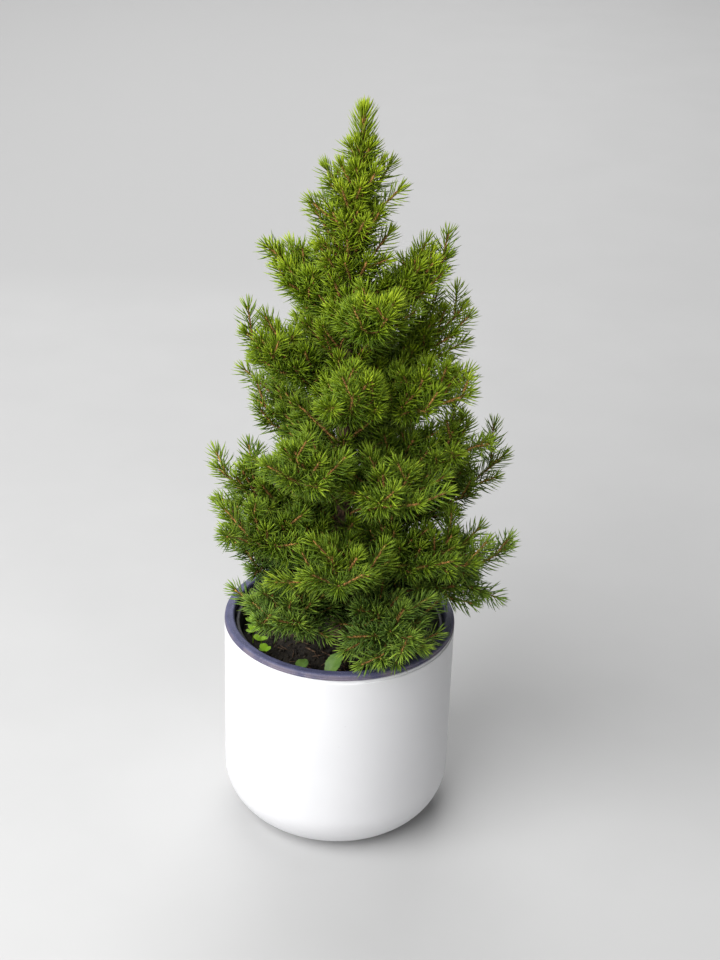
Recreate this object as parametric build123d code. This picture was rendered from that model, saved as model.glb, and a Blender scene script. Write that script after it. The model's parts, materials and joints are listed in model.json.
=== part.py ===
from build123d import *
import os
from math import cos, radians, sin

# Sizes are in millimetres, angles in degrees. +Z is up, -Y is the front, origin under the pot.

# Pot and its liner
pot_radius = 75.0
pot_height = 145.0
pot_wall = 4.0
pot_floor = 6.0
pot_corner = 34.0
lip_step = 1.2
lip_step_height = 3.0
foot_recess = 1.5
foot_ring = 9.0
rim_height = 4.5
liner_wall = 2.2
liner_clearance = 0.25

# Lift-out tub with its weight, socket and soil
tub_gap = 2.0
tub_wall = 1.4
tub_drop = 5.0
tub_bead = 1.2
weight_height = 46.0
cast_clearance = 0.2
socket_wall = 2.5
socket_foot = 4.0
flange_radius = 17.0
flange_thickness = 2.5
soil_depth = 17.0
soil_fall = 4.0
soil_clearance = 0.3

# Crown
crown_height = 355.0
crown_radius = 110.0
pole_radius = 2.5
running_clearance = 0.06
push_clearance = 0.05
trunk_foot_radius = 6.5
trunk_top_radius = 3.6
trunk_top_share = 0.755
trunk_gap = 1.5
leader_share = 0.875
leader_lean = 5.0
leader_top_radius = 1.3
leader_grip = 8.0

# Branches
knuckle_wall = 1.4
ball_radius = 2.0
ball_stand_off = 1.6
knuckle_cut = 1.0
mouth_cutter = 3.9
stem_radius = 1.1
stem_end_radius = 0.8
twig_radius = 0.6
twig_share = 0.033
tip_girth_share = 0.029
tip_foot_share = 0.36
spray_gap = 0.8
tip_length_share = 0.35
tip_longest_share = 0.31
tip_shortest_share = 0.155
inner_tip_share = 0.78
tip_spread = 40.0
tip_first = 0.22
tip_last = 0.52
rising_tips = 3
rising_first = 0.14
rising_last = 0.6
rising_spread = 52.0
rising_lean = 14.0
rising_share = 0.85
end_tip_from = 0.62
bend_share = 0.31
bud_swell = 1.25
high_lift = 18.0
low_lift = 2.0
stem_bow = 0.55
stem_sag = 0.25

# Each branch: root height (percent of the crown), azimuth (0 is right, 90 is back), reach (percent
# of the crown radius), height of its end (percent of the crown), side tips, side of the first tip.
branches = [
    (6.2, -60, 88, 13.5, 6, 1),
    (7.2, -121, 90, 16.2, 6, -1),
    (6.8, 166, 71, 21.0, 5, 1),
    (6.2, 86, 84, 15.2, 6, 1),
    (7.8, -2, 101, 20.0, 6, 1),
    (17.4, -90, 94, 26.5, 6, 1),
    (18.6, -34, 94, 24.2, 6, -1),
    (19.7, 19, 103, 33.0, 6, -1),
    (19.2, 112, 84, 30.4, 6, 1),
    (20.8, 177, 76, 34.0, 5, -1),
    (19.6, -137, 90, 31.0, 6, 1),
    (32.1, -60, 87, 39.4, 6, 1),
    (33.8, -112, 83, 44.5, 6, -1),
    (33.2, -9, 85, 42.8, 6, 1),
    (33.2, 58, 80, 44.0, 6, 1),
    (34.4, 136, 73, 44.5, 5, 1),
    (45.6, -86, 67, 58.3, 5, 1),
    (46.8, -28, 80, 54.6, 5, 1),
    (48.5, 26, 75, 62.5, 5, -1),
    (47.9, 110, 62, 60.3, 5, 1),
    (49.0, -166, 60, 62.5, 5, 1),
    (60.3, -66, 56, 69.9, 4, 1),
    (61.4, 6, 56, 75.0, 4, -1),
    (62.0, 160, 44, 73.8, 4, 1),
]

# Each leader spray: root height (percent of the crown), azimuth, climb, length (percent of the
# crown radius).
leader_sprays = [
    (76.8, -75, 26, 32),
    (77.6, 62, 30, 28),
    (78.4, 200, 30, 27),
    (79.3, -22, 34, 33),
    (80.1, 115, 36, 27),
    (80.9, -108, 38, 27),
    (81.8, 30, 40, 28),
    (82.6, 167, 42, 23),
    (83.4, -55, 44, 24),
    (84.3, 83, 46, 21),
    (85.1, 220, 47, 19),
    (86.0, -8, 42, 17),
]

# Small plants in the soil: place of the foot, height, leaf length, turn
clover_places = [(-56, -8, 8, 4.5, 20), (-50, -18, 6.5, 4, 75), (-57, 4, 7, 4, 140), (-47, -29, 6, 3.5, 200)]
broad_places = [(-3, -45, 5.5, 15, -75), (-20, -42, 5, 12, -115)]
leaf_thickness = 0.8
leaf_stem_radius = 0.7
leaf_root_depth = 5.0
leaf_slope = 24.0

up = Vector(0, 0, 1)
rim_top = pot_height
soil_level = pot_height - soil_depth
crown_top = soil_level + crown_height
trunk_foot = soil_level + trunk_gap
trunk_top = soil_level + trunk_top_share * crown_height
leader_top = soil_level + leader_share * crown_height
grip_top = trunk_top + leader_grip
liner_outer = pot_radius - pot_wall - liner_clearance
liner_inner = liner_outer - liner_wall
liner_base = pot_floor + liner_clearance
tub_base = liner_base + liner_wall
tub_outer = liner_inner - tub_gap
tub_inner = tub_outer - tub_wall
weight_base = tub_base + tub_wall
weight_top = weight_base + weight_height
pole_base = weight_base + socket_foot
bore_radius = pole_radius + running_clearance
socket_outer = bore_radius + socket_wall
tip_radius = tip_girth_share * crown_radius
twig_length = twig_share * crown_radius


def trunk_radius(z):
    share = (z - trunk_foot) / (trunk_top - trunk_foot)
    return trunk_foot_radius + (trunk_top_radius - trunk_foot_radius) * share


def outward(azimuth):
    return Vector(cos(radians(azimuth)), sin(radians(azimuth)), 0)


def branch_root(row):
    z = soil_level + row[0] / 100 * crown_height
    return outward(row[1]) * (trunk_radius(z) + ball_stand_off) + up * z


def branch_curve(row):
    root = branch_root(row)
    end = outward(row[1]) * (row[2] / 100 * crown_radius) + up * (soil_level + row[3] / 100 * crown_height)
    run = outward(row[1]) * ((end - root).dot(outward(row[1])) * stem_bow)
    return root, root + run + up * ((end.Z - root.Z) * stem_sag), end


def on_curve(curve, share):
    first, middle, last = curve
    rest = 1 - share
    return first * (rest * rest) + middle * (2 * rest * share) + last * (share * share)


def along_curve(curve, share):
    first, middle, last = curve
    return ((middle - first) * (1 - share) + (last - middle) * share).normalized()


def side_tips(row):
    """Foot on the stem, direction and length of each tip beside and above the stem."""
    curve = branch_curve(row)
    across = up.cross(outward(row[1]))
    reach = (curve[2] - curve[0]).length * tip_length_share
    length = min(tip_longest_share * crown_radius, max(tip_shortest_share * crown_radius, reach))
    tips = []
    for place in range(row[4]):
        share = tip_first + (tip_last - tip_first) * place / (row[4] - 1)
        side = row[5] if place % 2 == 0 else -row[5]
        lift = radians(high_lift if place // 2 % 2 == 0 else low_lift)
        ahead = along_curve(curve, share)
        above = across.cross(ahead) * -1
        sideways = across * (side * cos(lift)) + above * sin(lift)
        direction = ahead * cos(radians(tip_spread)) + sideways * sin(radians(tip_spread))
        size = length * (inner_tip_share if place < 2 else 1)
        tips.append((on_curve(curve, share), direction, size))
    rising = min(rising_tips, row[4] - 2)
    for place in range(rising):
        share = rising_first + (rising_last - rising_first) * place / (rising - 1)
        ahead = along_curve(curve, share)
        above = across.cross(ahead) * -1
        lean = radians(rising_lean if (place + row[0]) % 2 < 1 else -rising_lean)
        outer = above * cos(lean) + across * sin(lean)
        direction = ahead * cos(radians(rising_spread)) + outer * sin(radians(rising_spread))
        tips.append((on_curve(curve, share), direction, length * rising_share))
    return tips


def end_tip(row):
    curve = branch_curve(row)
    foot = on_curve(curve, end_tip_from)
    direction = (curve[2] - foot).normalized()
    return foot, direction, (curve[2] - foot).length - twig_length


def leader_axis(z):
    share = max(0, (z - grip_top) / (leader_top - grip_top))
    return Vector(leader_lean * share, 0, z)


def spray_tips():
    tips = []
    for height, azimuth, climb, length in leader_sprays:
        foot = leader_axis(soil_level + height / 100 * crown_height)
        direction = outward(azimuth) * cos(radians(climb)) + up * sin(radians(climb))
        tips.append((foot, direction, length / 100 * crown_radius))
    top = leader_axis(leader_top)
    direction = (Vector(leader_lean + 1, 0, crown_top) - top).normalized()
    reach = (crown_top - leader_top) / direction.Z
    return tips, (top, direction, reach - leader_top_radius * bud_swell - spray_gap)


# Solids
def ring(*points):
    """Solid turned about the vertical from a closed outline of (radius, height) points."""
    return revolve(Plane.XZ * make_face(Polyline(*points, close=True)), Axis.Z)


def cup_outline(radius, base, top, corner):
    """Solid round-bottomed plug with a straight wall."""
    edges = [
        Line((0, base), (radius - corner, base)),
        CenterArc((radius - corner, base + corner), corner, -90, 90),
        Line((radius, base + corner), (radius, top)),
        Line((radius, top), (0, top)),
        Line((0, top), (0, base)),
    ]
    return revolve(Plane.XZ * make_face(edges), Axis.Z)


def cup(radius, base, top, corner, wall, floor):
    hollow = cup_outline(radius - wall, base + floor, top + 1, corner - wall)
    return cup_outline(radius, base, top, corner) - hollow


def rod(start, end, start_radius, end_radius):
    """Round bar between two points, tapered when the radii differ."""
    span = end - start
    place = Plane(origin=start, z_dir=span)
    if start_radius == end_radius:
        bar = Cylinder(start_radius, span.length, align=(Align.CENTER, Align.CENTER, Align.MIN))
    else:
        bar = Cone(start_radius, end_radius, span.length, align=(Align.CENTER, Align.CENTER, Align.MIN))
    return place * bar


def ball(centre, radius, axis):
    """Ball with its pole along the axis of the bar it meets."""
    return Plane(origin=centre, z_dir=axis) * Sphere(radius)


def single(shape):
    """The one solid of a finished shape."""
    return shape.solids()[0] if len(shape.solids()) == 1 else shape


def make_outer_pot():
    body = cup(pot_radius, 0, rim_top - rim_height, pot_corner, pot_wall, pot_floor)
    step = ring(
        (pot_radius - lip_step, rim_top - rim_height - lip_step_height),
        (pot_radius + 1, rim_top - rim_height - lip_step_height),
        (pot_radius + 1, rim_top),
        (pot_radius - lip_step, rim_top),
    )
    recess = Cylinder(pot_radius - pot_corner - foot_ring, foot_recess * 2)
    return body - step - recess


def make_pot_liner():
    lip = rim_top - rim_height
    corner = pot_corner - pot_wall - liner_clearance
    shell = cup(liner_outer, liner_base, lip, corner, liner_wall, liner_wall)
    roll = rim_height / 3
    rim = ring(
        (liner_inner, lip),
        (pot_radius - roll / 2, lip),
        (pot_radius, lip + roll),
        (pot_radius, rim_top - roll),
        (pot_radius - roll, rim_top),
        (liner_inner + roll, rim_top),
        (liner_inner, rim_top - roll),
    )
    return shell + rim


def make_grow_pot():
    corner = pot_corner - pot_wall - liner_clearance - liner_wall - tub_gap
    top = rim_top - tub_drop
    shell = cup(tub_outer, tub_base, top, corner, tub_wall, tub_wall)
    bead = ring(
        (tub_outer - tub_wall / 2, top - 2 * tub_bead),
        (tub_outer + tub_bead, top - 2 * tub_bead),
        (tub_outer + tub_bead, top),
        (tub_outer - tub_wall / 2, top),
    )
    return shell + bead


def tub_fill(base, top, clearance):
    """Body that fills the tub between two heights, short of its wall by the clearance."""
    corner = pot_corner - pot_wall - liner_clearance - liner_wall - tub_gap - tub_wall - clearance
    plug = cup_outline(tub_inner - clearance, weight_base, top, corner)
    return plug & Pos(0, 0, base) * Cylinder(pot_radius, top - base, align=(Align.CENTER, Align.CENTER, Align.MIN))


def make_cement_weight():
    bore = Cylinder(socket_outer + cast_clearance, rim_top * 2)
    return tub_fill(weight_base, weight_top, cast_clearance) - bore


def make_pole_socket():
    return ring(
        (0, weight_base),
        (socket_outer, weight_base),
        (socket_outer, weight_top),
        (flange_radius, weight_top),
        (flange_radius, weight_top + flange_thickness),
        (socket_outer, weight_top + flange_thickness),
        (socket_outer, soil_level),
        (bore_radius, soil_level),
        (bore_radius, pole_base),
        (0, pole_base),
    )


def make_soil_fill():
    base = weight_top + flange_thickness
    block = tub_fill(base, soil_level + 1, soil_clearance)
    wide = tub_inner + 1
    hollow = ring(
        (socket_outer * 2, soil_level),
        (wide, soil_level - soil_fall),
        (wide, soil_level + 2),
        (0, soil_level + 2),
        (0, soil_level),
    )
    return block - hollow - Cylinder(socket_outer + soil_clearance, rim_top * 2)


def soil_height(x, y):
    reach = Vector(x, y, 0).length
    share = max(0, (reach - socket_outer * 2) / (tub_inner + 1 - socket_outer * 2))
    return soil_level - soil_fall * share


def leaf_blade(length, width):
    """Flat pointed blade lying along +X from the origin."""
    half = width / 2
    side = Spline((0, 0), (length * 0.35, half), (length, 0))
    other = Spline((length, 0), (length * 0.35, -half), (0, 0))
    return Pos(0, 0, -leaf_thickness / 2) * extrude(make_face([side, other]), leaf_thickness)


def make_clover_sprigs():
    sprigs = []
    for x, y, height, length, turn in clover_places:
        foot = Vector(x, y, soil_height(x, y) - leaf_root_depth)
        head = Vector(x, y, soil_height(x, y) + height)
        sprig = rod(foot, head, leaf_stem_radius, leaf_stem_radius)
        for third in range(3):
            sprig += Pos(*head) * Rot(0, 0, turn + 120 * third) * Rot(0, -leaf_slope, 0) * leaf_blade(length, length)
        sprigs.append(single(sprig))
    return Compound(sprigs)


def make_broad_leaves():
    leaves = []
    for x, y, height, length, turn in broad_places:
        foot = Vector(x, y, soil_height(x, y) - leaf_root_depth)
        head = Vector(x, y, soil_height(x, y) + height)
        leaf = rod(foot, head, leaf_stem_radius, leaf_stem_radius)
        leaf += Pos(*head) * Rot(0, 0, turn) * Rot(0, -leaf_slope / 4, 0) * leaf_blade(length, length * 0.5)
        leaves.append(single(leaf))
    return Compound(leaves)


def make_centre_pole():
    return rod(up * pole_base, up * grip_top, pole_radius, pole_radius)


def mouth_direction(row):
    curve = branch_curve(row)
    return (on_curve(curve, bend_share) - curve[0]).normalized()


def make_trunk_bark():
    bark = rod(Vector(0, 0, trunk_foot), Vector(0, 0, trunk_top), trunk_foot_radius, trunk_top_radius)
    for row in branches:
        bark += ball(branch_root(row), ball_radius + knuckle_wall, mouth_direction(row))
    for row in branches:
        root = branch_root(row)
        bark -= ball(root, ball_radius + running_clearance, mouth_direction(row))
        start = root + mouth_direction(row) * knuckle_cut
        end = root + mouth_direction(row) * (2 * ball_radius + 2 * knuckle_wall)
        bark -= rod(start, end, mouth_cutter, mouth_cutter)
    bore = Pos(0, 0, trunk_foot - 1) * Cylinder(
        pole_radius + push_clearance, trunk_top - trunk_foot + 2, align=(Align.CENTER, Align.CENTER, Align.MIN)
    )
    return bark - bore


def leader_radius(z):
    share = (z - trunk_top) / (leader_top - trunk_top)
    return trunk_top_radius + (leader_top_radius - trunk_top_radius) * share


def needle_tip(foot, direction, length):
    """Moulded tip on its own axis: narrow foot, full waist, pointed end."""
    waist = length * 0.22
    outline = Polyline(
        (0, 0),
        (tip_radius * tip_foot_share, 0),
        (tip_radius, waist),
        (tip_radius * 0.8, length - tip_radius),
        (tip_radius * 0.35, length - tip_radius * 0.2),
        (0, length),
        close=True,
    )
    return Plane(origin=foot, z_dir=direction) * revolve(Plane.XZ * make_face(outline), Axis.Z)


def spray_foot(tip):
    foot, direction, length = tip
    level = Vector(direction.X, direction.Y, 0).length
    clear = leader_radius(foot.Z) + tip_foot_share * tip_radius * direction.Z + spray_gap
    return foot + direction * (clear / level)


def top_foot(tip):
    return tip[0] + tip[1] * (leader_top_radius * bud_swell + spray_gap)


def make_leader_stem():
    sprays, top = spray_tips()
    knot_radius = leader_radius(grip_top)
    stem = rod(up * trunk_top, up * grip_top, trunk_top_radius, knot_radius)
    stem += ball(up * grip_top, knot_radius * bud_swell, up)
    stem += rod(up * grip_top, top[0], knot_radius, leader_top_radius)
    stem += ball(top[0], leader_top_radius * bud_swell, up)
    for tip in sprays:
        stem += rod(tip[0], spray_foot(tip), twig_radius, twig_radius)
    stem += rod(top[0], top_foot(top), twig_radius, twig_radius)
    return stem - rod(up * (trunk_top - 1), up * grip_top, pole_radius + push_clearance, pole_radius + push_clearance)


def make_leader_tips():
    sprays, top = spray_tips()
    tips = [needle_tip(spray_foot(tip), tip[1], tip[2]) for tip in sprays]
    return Compound(tips + [needle_tip(top_foot(top), top[1], top[2])])


def make_branch_stem(row):
    curve = branch_curve(row)
    bend = on_curve(curve, bend_share)
    end = on_curve(curve, end_tip_from)
    stem = ball(curve[0], ball_radius, mouth_direction(row))
    stem += rod(curve[0], bend, stem_radius, stem_radius)
    stem += ball(bend, stem_radius * bud_swell, end - bend)
    stem += rod(bend, end, stem_radius, stem_end_radius)
    stem += ball(end, stem_end_radius * bud_swell, end - bend)
    for foot, direction, length in side_tips(row) + [end_tip(row)]:
        stem += rod(foot, foot + direction * twig_length, twig_radius, twig_radius)
    return single(stem)


def make_branch_tips(row):
    tips = []
    for foot, direction, length in side_tips(row) + [end_tip(row)]:
        tips.append(needle_tip(foot + direction * twig_length, direction, length))
    return Compound(tips)


def build_nodes():
    nodes = {
        "outer_pot": make_outer_pot(),
        "pot_liner": make_pot_liner(),
        "grow_pot": make_grow_pot(),
        "cement_weight": make_cement_weight(),
        "pole_socket": make_pole_socket(),
        "soil_fill": make_soil_fill(),
        "clover_sprigs": make_clover_sprigs(),
        "broad_leaves": make_broad_leaves(),
        "centre_pole": make_centre_pole(),
        "trunk_bark": make_trunk_bark(),
        "leader_stem": make_leader_stem(),
        "leader_tips": make_leader_tips(),
    }
    for number, row in enumerate(branches, 1):
        nodes[f"branch_{number:02d}_stem"] = make_branch_stem(row)
        nodes[f"branch_{number:02d}_tips"] = make_branch_tips(row)
    return nodes


os.makedirs("parts", exist_ok=True)
for name, shape in build_nodes().items():
    export_step(shape, f"parts/{name}.step")
    print(name, len(shape.solids()), round(shape.volume, 1))
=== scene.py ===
# A small potted conifer: pot, soil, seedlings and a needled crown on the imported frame.
import bpy
import json
import math
import numpy as np
from mathutils import Matrix, Vector

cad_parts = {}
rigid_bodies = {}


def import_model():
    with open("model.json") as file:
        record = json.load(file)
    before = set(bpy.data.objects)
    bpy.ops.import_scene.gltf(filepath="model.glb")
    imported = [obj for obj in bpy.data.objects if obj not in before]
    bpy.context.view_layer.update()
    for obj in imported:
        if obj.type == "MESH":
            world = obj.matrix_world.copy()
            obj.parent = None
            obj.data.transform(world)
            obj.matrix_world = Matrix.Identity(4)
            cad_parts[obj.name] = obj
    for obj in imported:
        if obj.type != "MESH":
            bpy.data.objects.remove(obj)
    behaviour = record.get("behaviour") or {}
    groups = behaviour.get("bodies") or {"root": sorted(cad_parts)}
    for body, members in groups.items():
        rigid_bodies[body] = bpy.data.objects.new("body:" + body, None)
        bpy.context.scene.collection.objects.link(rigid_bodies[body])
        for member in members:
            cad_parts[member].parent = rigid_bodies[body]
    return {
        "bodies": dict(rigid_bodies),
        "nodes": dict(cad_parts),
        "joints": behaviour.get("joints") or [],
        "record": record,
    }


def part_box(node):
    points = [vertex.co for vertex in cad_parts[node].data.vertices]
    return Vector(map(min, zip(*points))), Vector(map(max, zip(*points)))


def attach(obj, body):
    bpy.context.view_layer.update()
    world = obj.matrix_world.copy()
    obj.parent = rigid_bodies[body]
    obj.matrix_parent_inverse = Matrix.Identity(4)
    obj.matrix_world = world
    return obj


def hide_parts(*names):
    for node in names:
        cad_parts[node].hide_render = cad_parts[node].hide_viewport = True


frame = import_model()
nodes = frame["nodes"]
joints = {joint["name"]: joint for joint in frame["joints"]}
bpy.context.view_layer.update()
bpy.ops.object.select_all(action="DESELECT")
dice = np.random.default_rng(7)
print("frame loaded:", len(nodes), "nodes")


def startEdit():
    bpy.ops.object.mode_set(mode="EDIT")
    bpy.ops.mesh.select_mode(type="FACE")


def endEdit(name):
    bpy.ops.object.mode_set(mode="OBJECT")
    piece = bpy.context.active_object
    piece.name = name
    piece.data.name = name
    piece.select_set(False)
    return piece


def faceOutward():
    bpy.ops.mesh.select_all(action="SELECT")
    bpy.ops.mesh.remove_doubles(threshold=1e-6)
    bpy.ops.mesh.normals_make_consistent(inside=False)


def extrudeRing(rise, scale):
    bpy.ops.mesh.extrude_region_move(TRANSFORM_OT_translate={"value": (0, 0, rise)})
    if scale != 1:
        bpy.ops.transform.resize(value=(scale, scale, 1))


def thrown(name, rings, segments=160):
    # like clay on a wheel: one disc pulled up, out and in again through every ring
    radius, height = rings[0]
    bpy.ops.mesh.primitive_circle_add(vertices=segments, radius=radius, fill_type="NGON", location=(0, 0, height))
    bpy.ops.object.transform_apply(location=True)
    startEdit()
    bpy.ops.mesh.select_all(action="SELECT")
    for lastRing, ring in zip(rings, rings[1:]):
        extrudeRing(ring[1] - lastRing[1], ring[0] / lastRing[0])
    faceOutward()
    bpy.ops.mesh.select_all(action="DESELECT")
    return endEdit(name)


def smoothed(piece, angle=40):
    piece.select_set(True)
    bpy.context.view_layer.objects.active = piece
    bpy.ops.object.shade_smooth_by_angle(angle=math.radians(angle))
    piece.select_set(False)
    return piece


def arc(centreRadius, centreHeight, radius, start, end, steps):
    rings = []
    for step in range(steps + 1):
        turn = math.radians(start + (end - start) * step / steps)
        rings.append((centreRadius + radius * math.cos(turn), centreHeight + radius * math.sin(turn)))
    return rings


class Sock:
    def __init__(self, tree, out=None):
        self.tree, self.out = tree, out

    def node(self, kind, settings=None, inputs=None, out=0):
        made = self.tree.nodes.new(kind)
        for key, value in (settings or {}).items():
            if key == "stops":
                ramp = made.color_ramp
                while len(ramp.elements) < len(value):
                    ramp.elements.new(0.5)
                for element, (place, colour) in zip(ramp.elements, value):
                    element.position, element.color = place, (*colour, 1)
            else:
                setattr(made, key, value)
        for key, value in (inputs or {}).items():
            if isinstance(value, Sock):
                self.tree.links.new(value.out, made.inputs[key])
            else:
                made.inputs[key].default_value = value
        return Sock(self.tree, made.outputs[out])

    def maths(self, operation, *values):
        return self.node("ShaderNodeMath", {"operation": operation}, dict(enumerate(values)))

    def __add__(self, other):
        return self.maths("ADD", self, other)

    def __sub__(self, other):
        return self.maths("SUBTRACT", self, other)

    def __rsub__(self, other):
        return self.maths("SUBTRACT", other, self)

    def __mul__(self, other):
        return self.maths("MULTIPLY", self, other)

    def __truediv__(self, other):
        return self.maths("DIVIDE", self, other)

    __radd__ = __add__
    __rmul__ = __mul__

    def root(self):
        return self.maths("SQRT", self)

    def floor(self):
        return self.maths("FLOOR", self)

    def band(self, low, high):
        limits = {"Value": self, "From Min": low, "From Max": high}
        return self.node("ShaderNodeMapRange", {"interpolation_type": "SMOOTHSTEP"}, limits)

    def noise(self, vector, scale, detail=3.0, roughness=0.5):
        inputs = {"Vector": vector, "Scale": scale, "Detail": detail, "Roughness": roughness}
        return self.node("ShaderNodeTexNoise", {}, inputs)

    def ramp(self, *stops):
        return self.node("ShaderNodeValToRGB", {"stops": stops}, {"Fac": self})

    def blend(self, factor, first, second):
        first, second = (colour if isinstance(colour, Sock) else (*colour, 1) for colour in (first, second))
        return self.node("ShaderNodeMix", {"data_type": "RGBA"}, {0: factor, 6: first, 7: second}, out=2)

    def bump(self, height, strength, distance):
        return self.node("ShaderNodeBump", {}, {"Height": height, "Strength": strength, "Distance": distance})


def newMaterial(name):
    material = bpy.data.materials.new(name)
    material.use_nodes = True
    tree = material.node_tree
    shader = next(item for item in tree.nodes if item.type == "BSDF_PRINCIPLED")
    return material, Sock(tree), shader


def feed(tool, shader, **sockets):
    for key, value in sockets.items():
        socket = shader.inputs[key.replace("_", " ")]
        if isinstance(value, Sock):
            tool.tree.links.new(value.out, socket)
        elif isinstance(value, tuple):
            socket.default_value = (*value, 1)
        else:
            socket.default_value = value


def objectPlace(tool):
    return tool.node("ShaderNodeTexCoord", {}, {}, out=3)


def potGlaze():
    material, tool, shader = newMaterial("potGlaze")
    place = objectPlace(tool)
    cloud = tool.noise(place, 14, 3)
    grain = tool.noise(place, 700, 3)
    wave = tool.noise(place, 45, 2)
    pit = tool.noise(place, 260, 1).band(0.78, 0.82)
    colour = cloud.ramp((0.3, (0.765, 0.765, 0.782)), (0.7, (0.805, 0.805, 0.820)))
    colour = tool.blend(pit * 0.12, colour, (0.42, 0.41, 0.42))
    height = grain * 0.5 + wave * 0.8 - pit * 0.6
    rough = 0.34 + cloud * 0.14 + pit * 0.2
    feed(tool, shader, Base_Color=colour, Roughness=rough, Normal=tool.bump(height, 0.10, 0.0003))
    return material


def linerGlaze():
    # dark indigo stoneware: fine salt speckle, worn paler and browner on the outer edge of the rim
    material, tool, shader = newMaterial("linerGlaze")
    place = objectPlace(tool)
    across = tool.node("ShaderNodeSeparateXYZ", {}, {0: place}, out=0)
    depth = tool.node("ShaderNodeSeparateXYZ", {}, {0: place}, out=1)
    reach = (across * across + depth * depth).root()
    speck = tool.noise(place, 1700, 2)
    cloud = tool.noise(place, 70, 4)
    base = cloud.ramp((0.3, (0.052, 0.055, 0.118)), (0.7, (0.098, 0.102, 0.196)))
    colour = tool.blend(speck.band(0.60, 0.72) * 0.6, base, (0.36, 0.35, 0.46))
    edge = reach.band(0.0738, 0.0749) * cloud.band(0.36, 0.60)
    colour = tool.blend(edge * 0.55, colour, (0.24, 0.19, 0.20))
    height = speck + cloud * 0.5
    feed(tool, shader, Base_Color=colour, Roughness=0.46 + cloud * 0.28, Normal=tool.bump(height, 0.35, 0.0003))
    return material


def plainPlastic(name, low, high, rough):
    material, tool, shader = newMaterial(name)
    place = objectPlace(tool)
    cloud = tool.noise(place, 80, 4)
    grain = tool.noise(place, 1500, 2)
    colour = cloud.ramp((0.3, low), (0.7, high))
    feed(tool, shader, Base_Color=colour, Roughness=rough + cloud * 0.15, Normal=tool.bump(grain, 0.3, 0.0002))
    return material


def soilEarth():
    material, tool, shader = newMaterial("soilEarth")
    place = objectPlace(tool)
    lump = tool.noise(place, 190, 6, 0.65)
    fleck = tool.noise(place, 700, 2)
    base = lump.ramp((0.3, (0.006, 0.005, 0.004)), (0.55, (0.022, 0.016, 0.010)), (0.8, (0.060, 0.042, 0.026)))
    colour = tool.blend(fleck.band(0.66, 0.74) * 0.6, base, (0.16, 0.12, 0.07))
    height = lump + fleck * 0.4
    feed(tool, shader, Base_Color=colour, Roughness=0.95 - fleck * 0.15, Normal=tool.bump(height, 0.9, 0.0015))
    return material


def barkSkin(name, low, high, pale):
    material, tool, shader = newMaterial(name)
    place = objectPlace(tool)
    stretched = tool.node("ShaderNodeMapping", {}, {"Vector": place, "Scale": (1, 1, 0.35)})
    ridge = tool.noise(stretched, 520, 5, 0.6)
    scale = tool.node("ShaderNodeTexVoronoi", {"feature": "DISTANCE_TO_EDGE"}, {"Vector": stretched, "Scale": 380})
    base = ridge.ramp((0.3, low), (0.62, high))
    colour = tool.blend(1 - scale.band(0.0, 0.12), base, low)
    colour = tool.blend(tool.noise(place, 900, 2).band(0.62, 0.72) * 0.5, colour, pale)
    height = ridge + scale.band(0.0, 0.15) * 0.7
    feed(tool, shader, Base_Color=colour, Roughness=0.75 + ridge * 0.2, Normal=tool.bump(height, 0.8, 0.0006))
    return material


needleStrips = 12


def needleSkin(name, stops):
    material, tool, shader = newMaterial(name)
    uv = tool.node("ShaderNodeUVMap", {"uv_map": "OFBake"}, {})
    along = tool.node("ShaderNodeSeparateXYZ", {}, {0: uv}, out=0)
    across = tool.node("ShaderNodeSeparateXYZ", {}, {0: uv}, out=1)
    row = (across * needleStrips).floor() / (needleStrips - 1)
    base = row.ramp(*stops)
    foot = tool.blend((1 - along.band(0.0, 0.20)) * 0.7, base, (0.30, 0.30, 0.045))
    colour = tool.blend(along.band(0.86, 0.99) * 0.55, foot, (0.62, 0.60, 0.14))
    feed(tool, shader, Base_Color=colour, Roughness=0.50 + 0.12 * row)
    shader.inputs["Specular IOR Level"].default_value = 0.32
    return material


def leafSkin(name, low, high):
    material, tool, shader = newMaterial(name)
    place = objectPlace(tool)
    cloud = tool.noise(place, 160, 3)
    vein = tool.noise(place, 900, 2)
    colour = cloud.ramp((0.3, low), (0.7, high))
    feed(tool, shader, Base_Color=colour, Roughness=0.45 + cloud * 0.2, Normal=tool.bump(vein, 0.4, 0.0003))
    return material


def steelRod():
    material, tool, shader = newMaterial("steelRod")
    place = objectPlace(tool)
    drawn = tool.noise(tool.node("ShaderNodeMapping", {}, {"Vector": place, "Scale": (1, 1, 0.02)}), 900, 3)
    colour = drawn.ramp((0.3, (0.42, 0.42, 0.43)), (0.7, (0.58, 0.58, 0.60)))
    feed(tool, shader, Base_Color=colour, Metallic=1.0, Roughness=0.3 + drawn * 0.2)
    return material


# four greens for each tier of the crown, from the darkest needles to the lightest: older needles plus painted shade
# inside the crown, up to new growth plus painted light on the upper, outer shoots
needleStops = (0, 0.35, 0.7, 1)
needleGreens = {
    "top": ((0.036, 0.080, 0.002), (0.118, 0.195, 0.004), (0.26, 0.36, 0.008), (0.43, 0.53, 0.018)),
    "high": ((0.031, 0.074, 0.002), (0.112, 0.192, 0.005), (0.26, 0.37, 0.010), (0.44, 0.56, 0.022)),
    "mid": ((0.026, 0.066, 0.004), (0.096, 0.170, 0.008), (0.24, 0.35, 0.015), (0.42, 0.54, 0.030)),
    "low": ((0.032, 0.077, 0.012), (0.104, 0.188, 0.025), (0.25, 0.38, 0.036), (0.42, 0.56, 0.052)),
}

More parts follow.
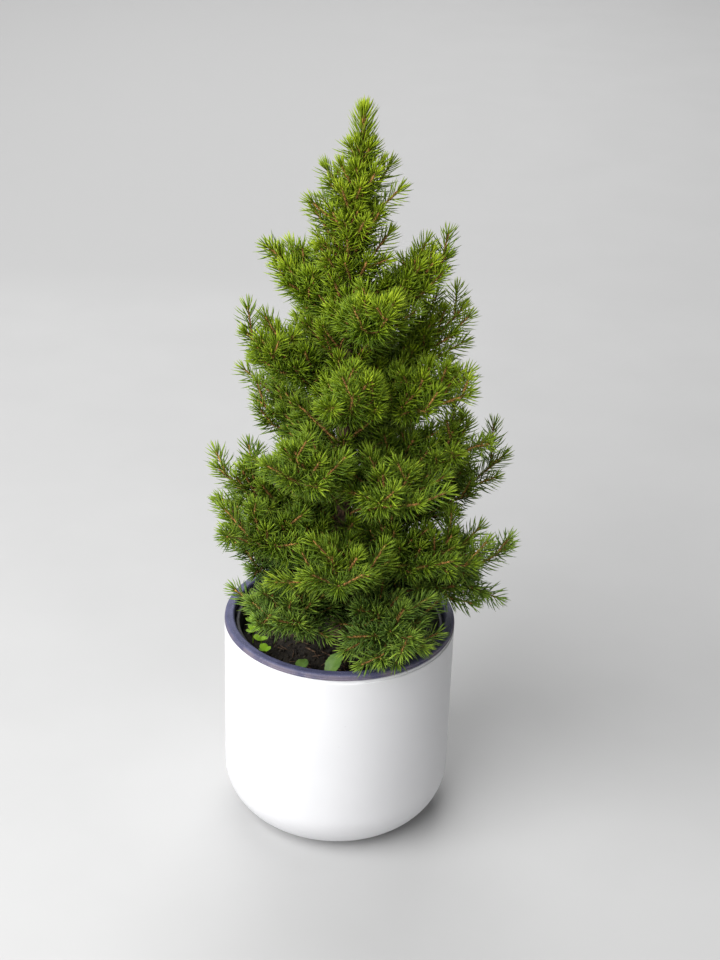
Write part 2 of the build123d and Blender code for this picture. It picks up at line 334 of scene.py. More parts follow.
materials = {
    "pot_white": potGlaze(),
    "liner_violet": linerGlaze(),
    "tub_black": plainPlastic("tubPlastic", (0.010, 0.010, 0.012), (0.022, 0.022, 0.025), 0.5),
    "cement": plainPlastic("castCement", (0.25, 0.245, 0.235), (0.38, 0.37, 0.35), 0.8),
    "socket_plastic": plainPlastic("socketPlastic", (0.035, 0.035, 0.035), (0.055, 0.055, 0.055), 0.45),
    "soil": soilEarth(),
    "leaf_light": leafSkin("leafLight", (0.15, 0.33, 0.008), (0.31, 0.53, 0.020)),
    "leaf_mid": leafSkin("leafMid", (0.070, 0.155, 0.020), (0.160, 0.285, 0.050)),
    "pole_steel": steelRod(),
    "bark": barkSkin("trunkBark", (0.045, 0.026, 0.016), (0.19, 0.11, 0.060), (0.32, 0.22, 0.13)),
    "twig": barkSkin("twigBark", (0.20, 0.090, 0.024), (0.60, 0.30, 0.080), (0.66, 0.44, 0.18)),
}
for tier, greens in needleGreens.items():
    materials["needles_" + tier] = needleSkin("needles" + tier.capitalize(), list(zip(needleStops, greens)))


def finish(piece, slot, body):
    piece.data.materials.clear()
    piece.data.materials.append(materials[slot])
    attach(piece, body)


# CAD nodes that stay get their slot's finish
for part in frame["record"]["subparts"]:
    mesh = nodes[part["node"]].data
    mesh.materials.clear()
    mesh.materials.append(materials[part["material_slot"]])
print("materials ready:", len(materials))


view = {"place": (0.0103, -1.0061, 0.7574), "drop": 27.1, "roll": 1.91, "lens": 67.5}
bpy.ops.object.camera_add(location=view["place"])
camera = bpy.context.active_object
camera.data.lens = view["lens"]
camera.data.sensor_width = 36
ahead = Vector((0, math.cos(math.radians(view["drop"])), -math.sin(math.radians(view["drop"]))))
right = ahead.cross(Vector((0, 0, 1))).normalized()
above = right.cross(ahead)
roll = math.radians(view["roll"])
side = right * math.cos(roll) + above * math.sin(roll)
top = above * math.cos(roll) - right * math.sin(roll)
camera.matrix_world = Matrix.Translation(view["place"]) @ Matrix((side, top, -ahead)).transposed().to_4x4()
bpy.context.scene.camera = camera
camera.select_set(False)

room = {
    "depth": 2.8, "bend": 0.5, "height": 2.0, "half": 5.0,
    "paper": (0.52, 0.54),      # low and high tone of the paper
    "fold": (0.86, 1.02),       # painted shade: the band, in metres back, over which the paper is painted darker, and how much darker it goes
    "foldTone": 0.96,
}
bpy.ops.mesh.primitive_plane_add(size=2 * room["half"], location=(0, room["depth"] - room["half"], 0))
bpy.ops.object.transform_apply(location=True)
startEdit()
bpy.ops.mesh.select_mode(type="EDGE")
bpy.ops.mesh.select_all(action="DESELECT")
bpy.ops.object.mode_set(mode="OBJECT")
floor = bpy.context.active_object
for edge in floor.data.edges:
    edge.select = all(floor.data.vertices[i].co.y > room["depth"] - 0.01 for i in edge.vertices)
bpy.ops.object.mode_set(mode="EDIT")
turnSteps = 12
for step in range(turnSteps):
    turn = math.radians(90 * (step + 0.5) / turnSteps)
    hop = room["bend"] * 2 * math.sin(math.radians(45 / turnSteps))
    rise = (0, hop * math.cos(turn), hop * math.sin(turn))
    bpy.ops.mesh.extrude_region_move(TRANSFORM_OT_translate={"value": rise})
bpy.ops.mesh.extrude_region_move(TRANSFORM_OT_translate={"value": (0, 0, room["height"])})
floor = endEdit("floor")
for face in floor.data.polygons:
    face.use_smooth = True
paper, tool, shader = newMaterial("palePaper")
place = objectPlace(tool)
fibre = tool.noise(place, 9, 3)
tone = fibre.ramp(*((0.3 + 0.4 * step, (value, value, value)) for step, value in enumerate(room["paper"])))
sideways = tool.node("ShaderNodeSeparateXYZ", {}, {0: place}, out=0)
backwards = tool.node("ShaderNodeSeparateXYZ", {}, {0: place}, out=1)
# painted shade: the paper darkens from about 0.9 m behind the pot, less so on the right
fold = backwards.band(*room["fold"]) * (1 - sideways.band(-0.25, 0.30) * 0.7)
tone = tool.blend(fold, tone, (room["paper"][0] * room["foldTone"],) * 3)
feed(tool, shader, Base_Color=tone, Roughness=0.86 + fibre * 0.08)
floor.data.materials.append(paper)


def softLight(name, place, aim, size, power, tint=(1, 1, 1)):
    bpy.ops.object.light_add(type="AREA", location=place)
    lamp = bpy.context.active_object
    lamp.name = name
    lamp.data.shape = "RECTANGLE"
    lamp.data.size, lamp.data.size_y = size
    lamp.data.energy = power
    lamp.data.color = tint
    lamp.rotation_euler = (Vector(aim) - Vector(place)).to_track_quat("-Z", "Y").to_euler()
    lamp.select_set(False)


light = {"window": 40, "ceiling": 54, "room": 0.16}
softLight("window", (-0.82, -0.86, 1.05), (0, 0, 0.12), (1.6, 1.4), light["window"])
softLight("ceiling", (-0.2, 1.9, 2.2), (-0.1, 1.9, 0), (2.5, 1.8), light["ceiling"])
world = bpy.data.worlds.new("room")
bpy.context.scene.world = world
world.use_nodes = True
world.node_tree.nodes["Background"].inputs[0].default_value = (1, 1, 1, 1)
world.node_tree.nodes["Background"].inputs[1].default_value = light["room"]
bpy.context.scene.view_settings.view_transform = "Standard"
print("camera, floor and light ready")

mm = 0.001

pot = {
    "radius": 75.0, "top": 140.5, "corner": 34.0, "wall": 4.0, "floor": 6.0,
    "neck": 74.2,               # the wall steps in just under the liner's rim
    "neckRise": 1.8,
    "recess": 1.5, "recessRadius": 32.0,
}


def scaled(rings):
    return [(radius * mm, height * mm) for radius, height in rings]


centre = pot["radius"] - pot["corner"]
innerCorner = pot["corner"] - pot["wall"]
rings = [(pot["recessRadius"] - 2, pot["recess"]), (pot["recessRadius"] - 0.4, pot["recess"] - 0.15)]
rings += [(pot["recessRadius"], pot["recess"] * 0.5), (pot["recessRadius"] + 0.7, 0.0)]
rings += arc(centre, pot["corner"], pot["corner"], -90, 0, 22)
rings += [(pot["radius"], 90.0), (pot["radius"], pot["top"] - pot["neckRise"] - 0.8)]
rings += arc(pot["radius"] - 0.8, pot["top"] - pot["neckRise"] - 0.6, 0.8, 0, 80, 4)
rings += [(pot["neck"], pot["top"] - pot["neckRise"] + 0.25), (pot["neck"], pot["top"] - 0.5)]
rings += [(pot["neck"] - 0.5, pot["top"]), (pot["radius"] - pot["wall"] + 0.5, pot["top"])]
rings += [(pot["radius"] - pot["wall"], pot["top"] - 0.5)]
rings += arc(centre, pot["floor"] + innerCorner, innerCorner, 0, -90, 14) + [(20.0, pot["floor"])]
piece = smoothed(thrown("outerPot", scaled(rings)))
finish(piece, "pot_white", "planter")
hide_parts("outer_pot")

liner = {
    "outer": 70.75, "inner": 68.55, "base": 6.25, "floor": 8.45, "corner": 29.75, "innerCorner": 27.55,
    "rimTop": 145.0, "rimRadius": 75.0,
}
top, edge = liner["rimTop"], liner["rimRadius"]
rings = [(20.0, liner["base"])] + arc(centre, liner["base"] + liner["corner"], liner["corner"], -90, 0, 14)
rings += [(liner["outer"], top - 4.4), (edge - 1.6, top - 4.3)]
rings += arc(edge - 1.3, top - 3.0, 1.3, -75, 10, 5)
rings += [(edge - 0.35, top - 2.35)]                        # the fine line between the two rolls of the rim
rings += arc(edge - 2.0, top - 1.85, 1.85, 5, 88, 6)
rings += [(edge - 3.1, top - 0.18), (edge - 3.6, top - 0.18)]
rings += arc(liner["inner"] + 1.6, top - 1.6, 1.6, 90, 180, 6)
rings += [(liner["inner"], top - 6.0)]
rings += arc(centre, liner["floor"] + liner["innerCorner"], liner["innerCorner"], 0, -90, 14)
rings += [(20.0, liner["floor"])]
piece = smoothed(thrown("potLiner", scaled(rings)), 32)
finish(piece, "liner_violet", "planter")
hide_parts("pot_liner")

tub = {
    "outer": 66.55, "inner": 65.15, "base": 8.45, "floor": 9.85, "corner": 25.55, "innerCorner": 24.15,
    "top": 140.0, "bead": 1.2,
}
rings = [(20.0, tub["base"])] + arc(centre, tub["base"] + tub["corner"], tub["corner"], -90, 0, 12)
rings += [(tub["outer"], tub["top"] - 2.6), (tub["outer"] + 0.5, tub["top"] - 2.4)]
rings += arc(tub["outer"], tub["top"] - 1.2, tub["bead"], -60, 90, 8)
rings += [(tub["inner"] + 0.4, tub["top"]), (tub["inner"], tub["top"] - 0.4)]
rings += arc(centre, tub["floor"] + tub["innerCorner"], tub["innerCorner"], 0, -90, 12) + [(20.0, tub["floor"])]
piece = smoothed(thrown("growPot", scaled(rings)))
finish(piece, "tub_black", "insert")
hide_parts("grow_pot")
print("pot, liner and tub thrown")


def patternOf(piece):
    points = np.array([vertex.co[:] for vertex in piece.data.vertices])
    faces = [list(face.vertices) for face in piece.data.polygons]
    bpy.data.objects.remove(piece)
    return points, faces


def copies(name, pattern, origins, frames, bends=None, strips=None):
    # one mesh from many copies of a pattern, each with its own place, frame and bend
    points, faces = pattern
    count, each = len(origins), len(points)
    placed = np.einsum("nij,vj->nvi", frames, points) + origins[:, None, :]
    if bends is not None:
        placed += bends[:, None, :] * (points[:, 2] ** 2)[None, :, None]
    sizes = np.array([len(face) for face in faces])
    corners = np.concatenate([np.array(face) for face in faces])
    loops = (corners[None, :] + (np.arange(count) * each)[:, None]).ravel()
    totals = np.tile(sizes, count)
    starts = np.concatenate([[0], np.cumsum(totals)[:-1]])
    mesh = bpy.data.meshes.new(name)
    mesh.vertices.add(count * each)
    mesh.vertices.foreach_set("co", placed.astype(np.float32).ravel())
    mesh.loops.add(len(loops))
    mesh.loops.foreach_set("vertex_index", loops.astype(np.int32))
    mesh.polygons.add(len(totals))
    mesh.polygons.foreach_set("loop_start", starts.astype(np.int32))
    mesh.polygons.foreach_set("loop_total", totals.astype(np.int32))
    mesh.update(calc_edges=True)
    if strips is not None:
        # each needle lies in its own colour strip, foot at the left and point at the right
        sides = np.where(points[:, 0] + points[:, 1] * 0.3 > 0, 0.36, -0.36) * (points[:, 2] < 0.99)
        along = 0.02 + 0.96 * points[:, 2] + np.where(points[:, 1] > 0.1, 0.012, -0.012)
        uvs = np.empty((count, len(corners), 2))
        uvs[:, :, 0] = np.clip(along[corners], 0.002, 0.998)[None, :]
        uvs[:, :, 1] = (strips[:, None] + 0.5 + sides[corners][None, :]) / needleStrips
        layer = mesh.uv_layers.new(name="OFBake")
        layer.data.foreach_set("uv", uvs.astype(np.float32).ravel())
    mesh.polygons.foreach_set("use_smooth", np.ones(len(totals), dtype=bool))
    mesh.validate()
    piece = bpy.data.objects.new(name, mesh)
    bpy.context.scene.collection.objects.link(piece)
    return piece


def unit(vector):
    return vector / np.linalg.norm(vector, axis=-1, keepdims=True)


def framesAlong(directions, widths, flats, lengths):
    # frames that stretch a pattern along +Z over each direction
    first = unit(np.cross(directions, dice.normal(size=(len(directions), 3))))
    second = np.cross(directions, first)
    return np.stack([first * widths[:, None], second * flats[:, None], directions * lengths[:, None]], axis=2)


# needle: four-sided, narrow foot, drawn to a point
bpy.ops.mesh.primitive_circle_add(vertices=4, radius=0.72, fill_type="NGON")
startEdit()
bpy.ops.mesh.select_all(action="SELECT")
extrudeRing(0.66, 1.39)
bpy.ops.mesh.extrude_region_move(TRANSFORM_OT_translate={"value": (0, 0, 0.34)})
bpy.ops.mesh.merge(type="CENTER")
faceOutward()
needle = patternOf(endEdit("needle"))

# twig: six-sided with leaf-scar rings
bpy.ops.mesh.primitive_circle_add(vertices=6, radius=1.0, fill_type="NGON")
startEdit()
bpy.ops.mesh.select_all(action="SELECT")
for ring in range(12):
    extrudeRing(1 / 12, 0.80 if ring % 2 else 1.18)
faceOutward()
twig = patternOf(endEdit("twig"))

# crumb: a lump of soil
bpy.ops.mesh.primitive_ico_sphere_add(subdivisions=1, radius=1.0)
startEdit()
bpy.ops.mesh.select_all(action="SELECT")
bpy.ops.transform.vertex_random(offset=0.28, seed=3)
crumb = patternOf(endEdit("crumb"))

# leaflet: a thin cushion with rounded edge
bpy.ops.mesh.primitive_circle_add(vertices=18, radius=0.86, fill_type="NGON")
startEdit()
bpy.ops.mesh.select_all(action="SELECT")
for rise, scale in ((0.35, 1.16), (0.30, 1.0), (0.35, 0.86)):
    extrudeRing(rise, scale)
bpy.ops.mesh.select_all(action="DESELECT")
leaflet = patternOf(endEdit("leaflet"))

soil = {
    "radius": 64.85, "base": 58.35, "level": 128.0, "edge": 124.0, "flat": 10.0, "swell": 1.5,
    "crumbs": 1500, "crumbReach": 63.2, "fallenNeedles": 110, "needleReach": 57, "fallenTwigs": 9,
    "needleGirth": 0.00042, "needleFlat": 0.00036, "twigGirth": 0.0007, "twigFlat": 0.0006,
}


def soilHeight(x, y):
    reach = math.hypot(x, y)
    share = max(0.0, (reach - soil["flat"]) / (soil["radius"] - soil["flat"]))
    lump = math.sin(x * 0.31 + 1.3) * math.sin(y * 0.27 + 0.4) + 0.6 * math.sin(x * 0.83 - y * 0.61)
    lump += 0.35 * math.sin(x * 1.9 + y * 1.3)
    calm = min(1.0, max(0.0, (reach - 6) / 8)) * min(1.0, max(0.0, (soil["radius"] - reach) / 3))
    return soil["level"] + (soil["edge"] - soil["level"]) * share + soil["swell"] * 0.5 * lump * calm


rings = [(62.0, soil["base"]), (soil["radius"], soil["base"] + 0.5), (soil["radius"], soil["edge"] - 1)]
rings += [(soil["radius"] - 0.3, soil["edge"])] + [(radius, soil["level"]) for radius in np.arange(63, 5, -2.0)]
ground = thrown("soilBlock", scaled(rings), 120)
for vertex in ground.data.vertices:
    if vertex.co.z > (soil["edge"] - 0.5) * mm:
        vertex.co.z = soilHeight(vertex.co.x / mm, vertex.co.y / mm) * mm
smoothed(ground, 70)
finish(ground, "soil", "insert")
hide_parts("soil_fill")


def onSoil(reach, turn, lift):
    # points at a reach and turn from the trunk, lifted off the soil
    spots = []
    for r, t, rise in zip(reach, turn, lift):
        x, y = r * math.cos(t), r * math.sin(t)
        spots.append((x, y, soilHeight(x, y) + rise))
    return np.array(spots) * mm


count = soil["crumbs"]
reach = np.sqrt(dice.uniform(0.02, 1, count)) * soil["crumbReach"]
turn = dice.uniform(0, 2 * math.pi, count)
girth = 0.55 + 1.5 * dice.random(count) ** 4
spots = onSoil(reach, turn, 0.25 * girth)
ways = unit(dice.normal(size=(count, 3)))
lengths = girth * mm * dice.uniform(0.6, 1.3, count)
crumbs = copies("soilCrumbs", crumb, spots, framesAlong(ways, girth * mm, girth * mm * 0.8, lengths))
finish(crumbs, "soil", "insert")

count = soil["fallenNeedles"]
reach = np.sqrt(dice.uniform(0.03, 1, count)) * soil["needleReach"]
turn = dice.uniform(0, 2 * math.pi, count)
spots = onSoil(reach, turn, np.full(count, 1.3))                # a needle clears the crumbs
ways = dice.normal(size=(count, 3))
ways[:, 2] *= 0.10                                              # nearly level
ways = unit(ways)
spots -= ways * 0.005                                           # a needle's middle lies on its spot
lengths = dice.uniform(0.008, 0.011, count)
frames = framesAlong(ways, np.full(count, soil["needleGirth"]), np.full(count, soil["needleFlat"]), lengths)
litter = copies("fallenNeedles", needle, spots, frames)
finish(litter, "bark", "insert")
count = soil["fallenTwigs"]
reach, turn = dice.uniform(25, 52, count), dice.uniform(0, 2 * math.pi, count)
spots = onSoil(reach, turn, np.full(count, 1.6))
ways = dice.normal(size=(count, 3)) * np.array([1, 1, 0.06])
lengths = dice.uniform(0.006, 0.012, count)
frames = framesAlong(unit(ways), np.full(count, soil["twigGirth"]), np.full(count, soil["twigFlat"]), lengths)
sticks = copies("fallenTwigs", twig, spots, frames)
finish(sticks, "bark", "insert")
print("soil laid with crumbs, needles and twigs")


def islands(node):
    # the node's separate solids, as point arrays
    mesh = nodes[node].data
    points = np.array([vertex.co[:] for vertex in mesh.vertices])
    keys = {}
    merged = [keys.setdefault(tuple(point), len(keys)) for point in np.round(points * 1e6).astype(int)]
    parent = list(range(len(keys)))

    def find(item):
        while parent[item] != item:
            parent[item] = parent[parent[item]]
            item = parent[item]
        return item

    for face in mesh.polygons:
        first = find(merged[face.vertices[0]])
        for other in face.vertices[1:]:
            parent[find(merged[other])] = first
    groups = {}
    for index in range(len(points)):
        groups.setdefault(find(merged[index]), []).append(index)
    return [points[group] for group in groups.values()]


def stalksOf(name, lines, girth, slot):
    # thin stalks along lines from foot to head
    feet = np.array([foot for foot, head in lines])
    ways = np.array([head - foot for foot, head in lines])
    girths = np.full(len(ways), girth)
    stems = copies(name, twig, feet, framesAlong(unit(ways), girths, girths, np.linalg.norm(ways, axis=1)))
    finish(stems, slot, "insert")


clover = {"leaf": 2.9, "thick": 0.32, "stalk": 0.42, "lean": 22}
origins, frames, stalks = [], [], []
for plant, points in enumerate(islands("clover_sprigs")):
    head = points[:, 2].max() - 0.0008
    foot = points[points[:, 2] < points[:, 2].min() + 1e-4].mean(axis=0)
    middle = np.array([foot[0], foot[1], head])
    stalks.append((foot, middle))
    for third in range(3):
        turn = math.radians(40 * plant + 120 * third + dice.uniform(-9, 9))
        tilt = math.radians(clover["lean"] + dice.uniform(-12, 12))
        outer = np.array([math.cos(turn) * math.cos(tilt), math.sin(turn) * math.cos(tilt), math.sin(tilt)])
        broad = np.array([-math.sin(turn), math.cos(turn), 0])
        size = clover["leaf"] * mm * dice.uniform(0.85, 1.1)
        origins.append(middle + outer * size * 1.02)
        thick = np.cross(outer, broad) * clover["thick"] * mm
        frames.append(np.stack([outer * size, broad * size * 0.94, thick], axis=1))
points, faces = leaflet
notch = np.exp(-((points[:, 1]) / 0.22) ** 2) * (points[:, 0] > 0.3)
cupped = points.copy()
cupped[:, 0] -= 0.22 * notch
cupped[:, 2] += 1.6 * (points[:, 1] ** 2)
green = copies("cloverLeaves", (cupped, faces), np.array(origins), np.array(frames))
finish(green, "leaf_light", "insert")
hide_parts("clover_sprigs")
stalksOf("cloverStalks", stalks, clover["stalk"] * mm, "leaf_light")

seedling = {
    "width": 10.5, "fold": 1.3, "arch": 1.6, "thick": 0.35, "droop": 0.5, "stalk": 0.0006,
    "rise": (5.5, -4.0, 14.0),          # from the larger one's crown to its hanging blade's foot
    "reach": (-4.0, -16.0, -0.5),       # and to that blade's point
    "smaller": 0.75, "sideWidth": 0.55,
}


def broadLeaf(name, foot, point, width, slot):
    # a pointed blade: a grid drawn to the outline, folded on its midrib, given thickness
    bpy.ops.mesh.primitive_grid_add(x_subdivisions=24, y_subdivisions=10, size=2)
    blade = endEdit(name)
    span = np.array(point) - np.array(foot)
    length = np.linalg.norm(span)
    ahead = span / length
    across = unit(np.cross(np.array([0, 0, 1.0]), ahead))
    above = np.cross(ahead, across)
    for vertex in blade.data.vertices:
        share, side = (vertex.co.x + 1) / 2, vertex.co.y
        outline = (math.sin(math.pi * share ** 0.8) ** 0.9 + 0.012) * (1 + 0.05 * math.sin(share * 60) * abs(side))
        rise = seedling["fold"] * abs(side) * outline + seedling["arch"] * math.sin(math.pi * share)
        rise -= 0.25 * math.cos(side * 9 + share * 24) * abs(side) + seedling["droop"] * share ** 3
        place = np.array(foot) + ahead * share * length + across * side * outline * width / 2 * mm + above * rise * mm
        vertex.co = Vector(place)
    blade.select_set(True)
    bpy.context.view_layer.objects.active = blade
    bpy.ops.object.modifier_add(type="SOLIDIFY")
    blade.modifiers[0].thickness = seedling["thick"] * mm
    bpy.ops.object.modifier_apply(modifier=blade.modifiers[0].name)
    startEdit()
    faceOutward()
    blade = endEdit(name)
    smoothed(blade, 60)
    finish(blade, slot, "insert")
    return blade


blades, stalks = [], []
for plant, points in enumerate(islands("broad_leaves")):
    foot = points[points[:, 2] < points[:, 2].min() + 1e-4].mean(axis=0)
    flat = np.hypot(points[:, 0] - foot[0], points[:, 1] - foot[1])
    point = points[flat.argmax()]
    crown = np.array([foot[0], foot[1], points[:, 2].max() - 0.001])
    if plant == 0:
        # the larger one hangs its blade over towards the front
        high, low = crown + np.array(seedling["rise"]) * mm, crown + np.array(seedling["reach"]) * mm
        stalks.append((foot, high))
        width = seedling["width"]
    else:
        high, low = crown + np.array([0, 0, 0.004]), point - np.array([0, 0, 0.001])
        stalks.append((foot, crown))
        width = seedling["width"] * seedling["smaller"]
    blades.append(broadLeaf("broadLeaf%d" % (plant + 1), high, low, width, "leaf_mid"))
    side = np.array([0.004, 0.0075, 0.0035]) * (1 if plant == 0 else -1) + np.array([0, 0, 0.002])
    sidePoint = crown + side * np.array([1, 0.5, 1])
    sideWidth = seedling["width"] * seedling["sideWidth"]
    blades.append(broadLeaf("broadLeafSide%d" % (plant + 1), crown, sidePoint, sideWidth, "leaf_mid"))
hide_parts("broad_leaves")
stalksOf("seedlingStalks", stalks, seedling["stalk"], "leaf_mid")
print("seedlings planted")

shoot = {
    "gap": 0.0036,              # from a tip's foot back to its stem
    "needleLong": 0.0127,
    "needleGirth": 0.00039,
    "perMillimetre": 2.0,
    "stemPerMillimetre": 1.1,
    "footAngle": 62,
    "endAngle": 32,
    "tuft": 8,
    "twigGirth": 0.00092,
    "forkRise": 0.42,           # how much a fork leans up
    "forkLong": (0.58, 0.85),
    "bow": 0.16,                # how far a level shoot curves up over its length
}


def axisOf(points):
    # foot and point of one tip solid; its blunt end is the foot
    middle = points.mean(axis=0)
    direction = np.linalg.svd(points - middle, full_matrices=False)[2][0]
    along = (points - middle) @ direction
    radial = np.linalg.norm(points - middle - along[:, None] * direction, axis=1)
    if radial[np.abs(along - along.max()) < 1e-4].max() > radial[np.abs(along - along.min()) < 1e-4].max():
        direction, along = -direction, -along
    return points[along < along.min() + 1e-4].mean(axis=0), points[along.argmax()]


def crossFrame(direction):
    first = unit(np.cross(np.array([0.001, 0.001, 1.001]), direction))
    return first, np.cross(direction, first)


class Spray:
    # collects needles and twigs, then makes one piece of each
    def __init__(self):
        self.origins, self.directions, self.lengths, self.strips, self.aheads, self.twigs = [], [], [], [], [], []

    def alongLine(self, start, end, density, youthAndLight, tuft=0, girth=None, angles=None, scale=1.0, bare=0.0, bow=0.0):
        span = end - start
        length = np.linalg.norm(span)
        ahead = span / length
        first, second = crossFrame(ahead)
        footAngle, endAngle = angles or (shoot["footAngle"], shoot["endAngle"])
        count = max(3, int(length * 1000 * density))
        turn = dice.uniform(0, 360)
        girth = shoot["twigGirth"] if girth is None else girth
        for step in range(count + tuft):
            if step < count:
                share = min(1.0, bare + (1 - bare) * step / count + dice.normal(0, 0.01))
            else:
                share = dice.uniform(0.94, 1.0)
            angle = math.radians(footAngle + (endAngle - footAngle) * max(0.0, share) ** 2.4 + dice.normal(0, 5))
            if step >= count:
                angle = math.radians(dice.uniform(3, 34))
            turn += 137.5 + dice.normal(0, 8)
            radial = math.cos(math.radians(turn)) * first + math.sin(math.radians(turn)) * second
            swell = 0.80 + 0.25 * math.sin(math.pi * min(1, share * 0.9 + 0.1))
            size = shoot["needleLong"] * scale * swell * dice.uniform(0.86, 1.08)
            if share > 0.9:
                size *= 0.86
            place = start + span * share + np.array([0, 0, bow * length * share ** 2])
            local = unit(ahead + np.array([0, 0, 2 * bow * share]))
            self.origins.append(place + radial * girth * 0.5)
            self.directions.append(unit(math.cos(angle) * local + math.sin(angle) * radial))
            self.lengths.append(size)
            self.aheads.append(local)
            # a needle's row: new growth lighter towards the shoot's end; the youth passed in also carries painted
            # light, lighter for upper, outer shoots
            strip = (youthAndLight + 0.30 * share ** 2 + dice.normal(0, 0.09)) * (needleStrips - 1)
            self.strips.append(int(np.clip(round(strip), 0, needleStrips - 1)))

    def twig(self, start, end, girth, bow=0.0):
        # a bowed twig is laid in short runs
        runs = 1 if bow < 0.03 else 4
        length = np.linalg.norm(end - start)
        shares = np.linspace(0, 1, runs + 1)
        points = [start + (end - start) * share + np.array([0, 0, bow * length * share ** 2]) for share in shares]
        for number, (first, last) in enumerate(zip(points, points[1:])):
            last = last + (last - first) * (0.04 if runs > 1 else 0)
            self.twigs.append((first, last, girth * (1 - 0.3 * number / runs)))

    def shootOn(self, foot, end, youthAndLight, forks, rise=None, gap=None, bow=None):
        rise = shoot["forkRise"] if rise is None else rise
        gap = shoot["gap"] if gap is None else gap
        length = np.linalg.norm(end - foot)
        ahead = (end - foot) / length
        bow = shoot["bow"] * dice.uniform(0.5, 1.5) * (1 - max(0.0, ahead[2])) if bow is None else bow
        start = foot - ahead * gap
        self.alongLine(start, end - ahead * 0.006, shoot["perMillimetre"], youthAndLight, shoot["tuft"], bow=bow)
        self.twig(start, end - ahead * 0.006, shoot["twigGirth"], bow)
        first, second = crossFrame(ahead)
        side = 1 if dice.random() > 0.5 else -1
        for fork in range(forks):
            side = -side
            lean, lift = math.radians(dice.uniform(38, 54)), math.radians(dice.uniform(-35, 55))
            out = first * side * math.cos(lift) + second * math.sin(lift)
            lifted = np.array([0, 0, rise * dice.uniform(0.4, 1.4)])
            way = unit(math.cos(lean) * ahead + math.sin(lean) * out + lifted)
            share = 0.14 + 0.50 * fork / max(1, forks - 1)
            base = start + (end - start) * share + np.array([0, 0, bow * length * share ** 2])
            size = max(0.013, length * dice.uniform(*shoot["forkLong"]) * (1.0 - 0.10 * fork))
            self.alongLine(base, base + way * size, shoot["perMillimetre"], youthAndLight + 0.03, 5, scale=0.92)
            self.twig(base, base + way * size, shoot["twigGirth"] * 0.7)

    def pieces(self, name, slot, body, replaced=()):
        directions, lengths, aheads = np.array(self.directions), np.array(self.lengths), np.array(self.aheads)
        girths = shoot["needleGirth"] * dice.uniform(0.85, 1.15, len(lengths))
        bends = (aheads - directions * (aheads * directions).sum(axis=1, keepdims=True)) * (0.17 * lengths)[:, None]
        frames = framesAlong(directions, girths, girths * 0.8, lengths)
        green = copies(name + "Needles", needle, np.array(self.origins), frames, bends, np.array(self.strips))
        finish(green, slot, body)
        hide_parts(*replaced)
        starts, ends, girths = (np.array(column) for column in zip(*self.twigs))
        lengths = np.linalg.norm(ends - starts, axis=1)
        wood = copies(name + "Twigs", twig, starts, framesAlong(unit(ends - starts), girths, girths, lengths))
        finish(wood, "twig", body)


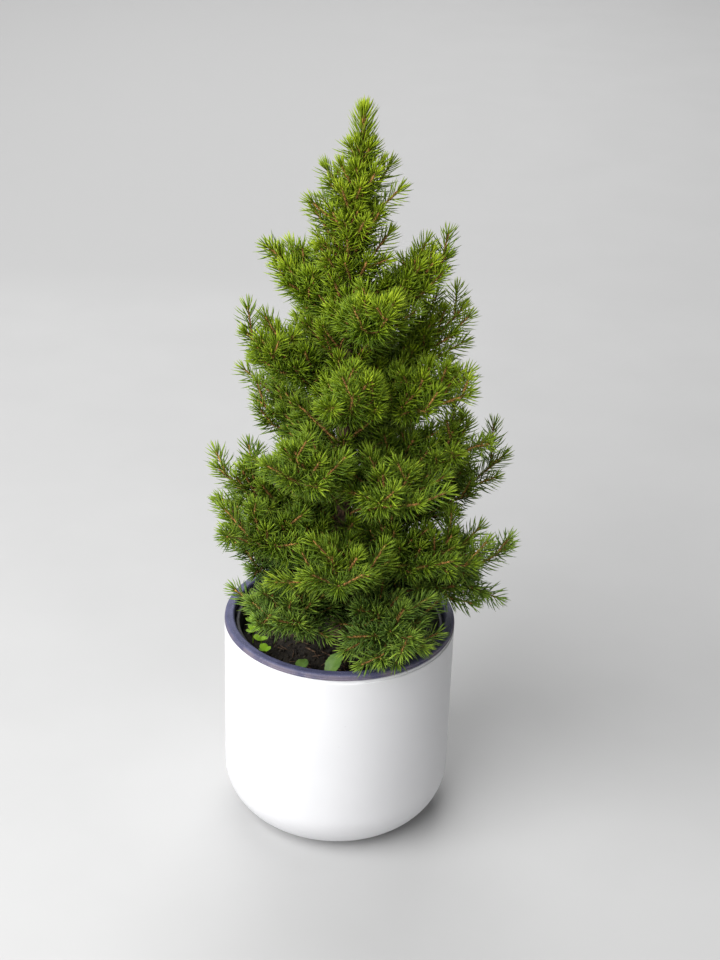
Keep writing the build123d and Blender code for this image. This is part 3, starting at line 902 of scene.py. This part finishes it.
slots = {part["node"]: part["material_slot"] for part in frame["record"]["subparts"]}
branchNames = sorted(body for body in frame["bodies"] if body.startswith("branch_"))
needleCount = 0
branching = {
    "foot": 0.128, "tall": 0.355,       # where level 0 is, and from there to level 1
    "lowest": 0.1,                      # levels under this are the lowest tier
    "inner": 5, "innerLong": (0.024, 0.034),
    "steep": 5, "steepHigh": 7, "steepLong": (0.028, 0.038),
    "hanging": 4, "hangingLong": (0.026, 0.034),
    "openSide": -0.3,                   # no hanging shoots further to the left than this
}
for body in branchNames:
    root = np.array(joints[body + "_bend"]["pos_m"])
    level = (root[2] - branching["foot"]) / branching["tall"]
    out = unit(root * np.array([1, 1, 0]))
    across = np.cross(np.array([0, 0, 1.0]), out)
    spray = Spray()
    axes = [axisOf(points) for points in islands(body + "_tips")]
    axes.sort(key=lambda axis: np.linalg.norm(axis[0] - root))
    for foot, end in axes:
        # lighter higher up and further out: partly new growth, partly painted light where the upper, outer crown
        # catches more light
        youthAndLight = 0.05 + 0.20 * level + 2.6 * np.linalg.norm(end - root) + dice.normal(0, 0.06)
        spray.shootOn(foot, end, youthAndLight, 2, rise=0.05 if level < branching["lowest"] else None)
    line = [root] + [foot - unit(end - foot) * shoot["gap"] for foot, end in axes]
    for number, (start, end) in enumerate(zip(line, line[1:])):
        if np.linalg.norm(end - start) > 0.0015:
            bare = 0.3 if number == 0 else 0.0
            spray.alongLine(start, end, shoot["stemPerMillimetre"], 0.14 + 0.15 * level, angles=(60, 50), bare=bare)
    # short upright shoots on the inner stem close the space below the next tier
    first, last = line[0], line[len(line) // 2]
    for step in range(branching["inner"]):
        base = first + (last - first) * (0.25 + 0.18 * step)
        side = 1 if step % 2 else -1
        sideways = dice.uniform(0.15, 0.75)
        lift = dice.uniform(0.5, 1.0) if level > branching["lowest"] or step < 4 else 0.3
        way = unit(out * 0.50 + across * side * sideways + np.array([0, 0, lift]))
        spray.shootOn(base, base + way * dice.uniform(*branching["innerLong"]), 0.10 + 0.20 * level, 1, gap=0.0)
    # steep ones further out fill the crown's upper face
    steep = branching["steepHigh"] if level > 0.55 else branching["steep"]
    for step in range(steep):
        base = first + (line[-1] - first) * (0.30 + 0.62 * step / (steep - 1))
        side = -1 if step % 2 else 1
        way = unit(out * dice.uniform(0.30, 0.70) + across * side * dice.uniform(0.1, 0.6) + np.array([0, 0, 1.0]))
        youthAndLight = 0.14 + 0.30 * level + 0.05 * step
        spray.shootOn(base, base + way * dice.uniform(*branching["steepLong"]), youthAndLight, 1 if step < 3 else 0, gap=0.0)
    # the lowest tier hangs over the soil
    for step in range(branching["hanging"] if level < branching["lowest"] and out[0] > branching["openSide"] else 0):
        base = first + (line[-1] - first) * (0.62 + 0.12 * step)
        side = -1 if step % 2 else 1
        outward = out * dice.uniform(0.6, 0.9) + across * side * dice.uniform(0.3, 0.9)
        way = unit(outward - np.array([0, 0, dice.uniform(0.12, 0.26)]))
        spray.shootOn(base, base + way * dice.uniform(*branching["hangingLong"]), 0.30, 2, rise=0.0, gap=0.0, bow=0.02)
    spray.pieces(body.replace("_", ""), slots[body + "_tips"], body, [body + "_tips"])
    needleCount += len(spray.origins)
print("branches dressed:", len(branchNames), "needles:", needleCount)

# the leader, its sprays, and short shoots straight from the trunk
leader = {
    "trunkFrom": 0.142, "trunkTo": 0.402, "trunkStep": 0.0048, "trunkLong": (0.030, 0.042),
    "topTuft": 34, "topTwig": 0.0013,
    "openSide": -0.2, "openBelow": 0.178,       # low on the left the soil shows
}
spray = Spray()
axes = sorted((axisOf(points) for points in islands("leader_tips")), key=lambda axis: axis[1][2])
for foot, end in axes[:-1]:
    spray.shootOn(foot, end, 0.42 + dice.normal(0, 0.06), 1, rise=0.9, bow=0.22)
foot, end = axes[-1]
tip = end - unit(end - foot) * 0.006
spray.alongLine(foot - (end - foot) * 0.1, tip, 3.4, 0.46, leader["topTuft"], angles=(48, 28), scale=1.20)
spray.twig(foot - (end - foot) * 0.1, tip, leader["topTwig"])
for step in range(5):
    base = foot + (tip - foot) * (0.02 + 0.06 * step)
    turn = math.radians(137.5 * step + 40)
    way = unit(np.array([math.cos(turn) * 0.50, math.sin(turn) * 0.50, 1.0]))
    spray.shootOn(base, base + way * (0.022 - 0.0016 * step), 0.48, 0, gap=0.0)
stemFoot = np.array([0.0, 0.0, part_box("leader_stem")[0][2]])
spray.alongLine(stemFoot, foot, 2.3, 0.40, angles=(48, 38), girth=0.005)
height, turn = leader["trunkFrom"], 20.0
while height < leader["trunkTo"]:
    turn += 137.5
    share = (height - leader["trunkFrom"]) / (leader["trunkTo"] - leader["trunkFrom"])
    way = unit(np.array([math.cos(math.radians(turn)), math.sin(math.radians(turn)), 0.42 + 1.15 * share]))
    level = np.array([way[0], way[1], 0])
    base = unit(level) * (0.0058 - 0.0022 * share) + np.array([0, 0, height])
    if way[0] > leader["openSide"] or height > leader["openBelow"]:
        forks = 1 if share > 0.5 or share < 0.12 else 0
        # higher trunk shoots lighter: partly new growth, partly painted light
        spray.shootOn(base, base + way * dice.uniform(*leader["trunkLong"]), 0.10 + 0.32 * share ** 2, forks, gap=0.0)
    height += leader["trunkStep"] * (1 - 0.35 * share)
spray.pieces("leader", "needles_top", "tree", ["leader_tips"])
print("leader dressed:", len(spray.origins), "needles")
